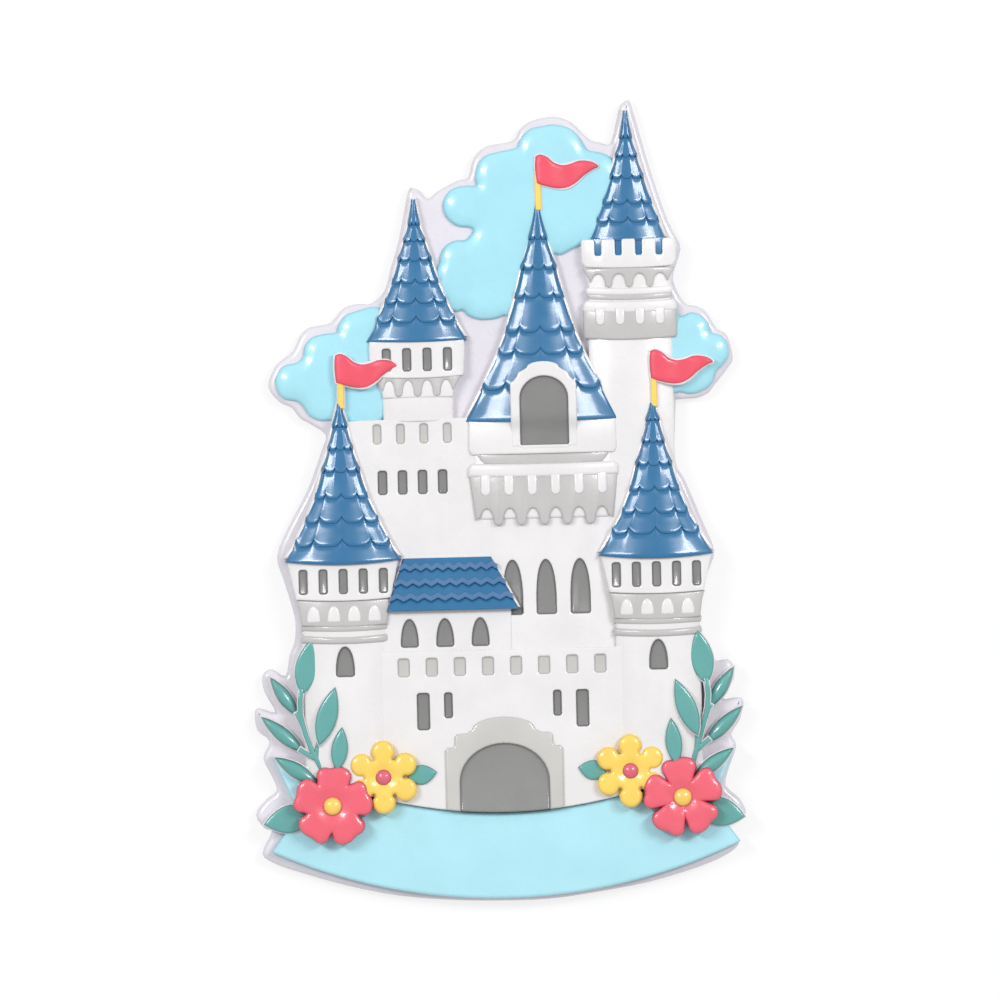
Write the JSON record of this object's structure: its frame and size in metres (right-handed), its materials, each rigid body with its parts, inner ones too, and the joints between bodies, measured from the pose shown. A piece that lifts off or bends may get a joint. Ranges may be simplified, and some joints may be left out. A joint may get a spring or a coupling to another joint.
{
  "type": "castle relief plaque",
  "caption": "Flat-backed cast relief of a fairy-tale castle with spired towers, clouds, flags, flowers and a ribbon banner, finished in gloss paint.",
  "frame": {"origin": "on the flat back, under the middle of the gate and halfway up the plaque", "axes": "+X to the right across the castle, +Y up the castle, +Z out of its painted face"},
  "size_m": [0.0743, 0.1195, 0.008],
  "materials": {
    "plaster_white": "gloss",
    "wall_white": "gloss",
    "stone_grey": "gloss",
    "window_grey": "gloss",
    "roof_blue": "gloss",
    "sky_blue": "gloss",
    "leaf_green": "gloss",
    "petal_red": "gloss",
    "petal_yellow": "gloss"
  },
  "bodies": {
    "root": {"castle_plaque": "plaster_white"}
  },
  "joints": []
}
